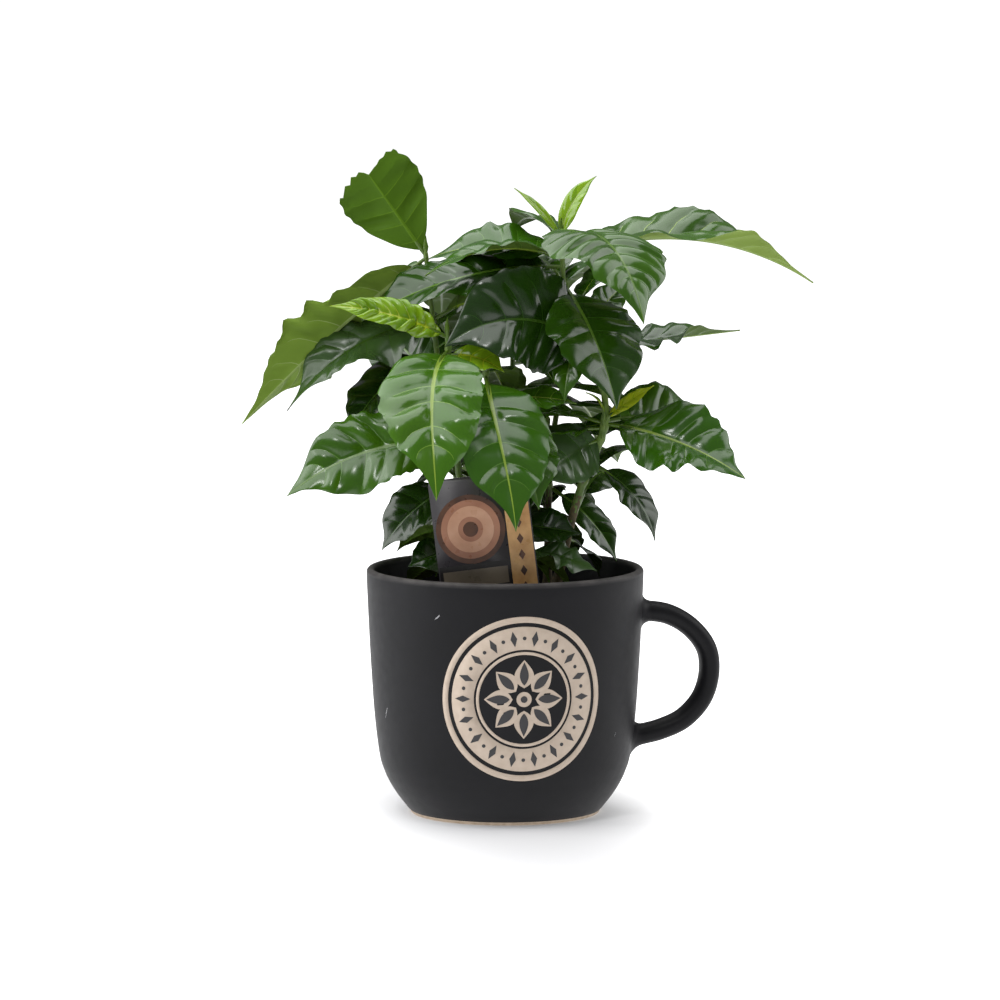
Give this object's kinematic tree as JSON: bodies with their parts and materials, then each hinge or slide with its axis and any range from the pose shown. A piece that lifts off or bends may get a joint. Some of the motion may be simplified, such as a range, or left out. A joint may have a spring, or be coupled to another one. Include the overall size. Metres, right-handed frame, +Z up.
{
  "type": "potted coffee plant",
  "caption": "Young coffee plant with broad glossy leaves, growing in a round stoneware mug with a side handle and a stick-in label.",
  "frame": {"origin": "middle of the mug's flat foot, on the surface it stands on", "axes": "+Z up, +X towards the mug's handle, -Y the side of the mug's emblem"},
  "size_m": [0.2589, 0.1741, 0.296],
  "materials": {
    "mug_glaze": "matte charcoal glaze",
    "soil": "moist crumbly peat",
    "label_card": "printed semi-gloss plastic card",
    "stem": "smooth green-brown bark",
    "foliage": "glossy dark green leaves"
  },
  "bodies": {
    "root": {"mug_body": "mug_glaze", "mug_handle": "mug_glaze", "potting_soil": "soil", "plant_label": "label_card", "tall_stem": "stem", "left_back_stem": "stem", "left_front_stem": "stem", "front_stem": "stem", "back_stem": "stem", "right_back_stem": "stem", "tall_leaves_1": "foliage", "tall_leaves_2": "foliage", "tall_leaves_3": "foliage", "left_back_leaves_1": "foliage", "left_front_leaves_1": "foliage", "front_leaves_1": "foliage", "back_leaves_1": "foliage", "right_back_leaves_1": "foliage"}
  },
  "joints": []
}
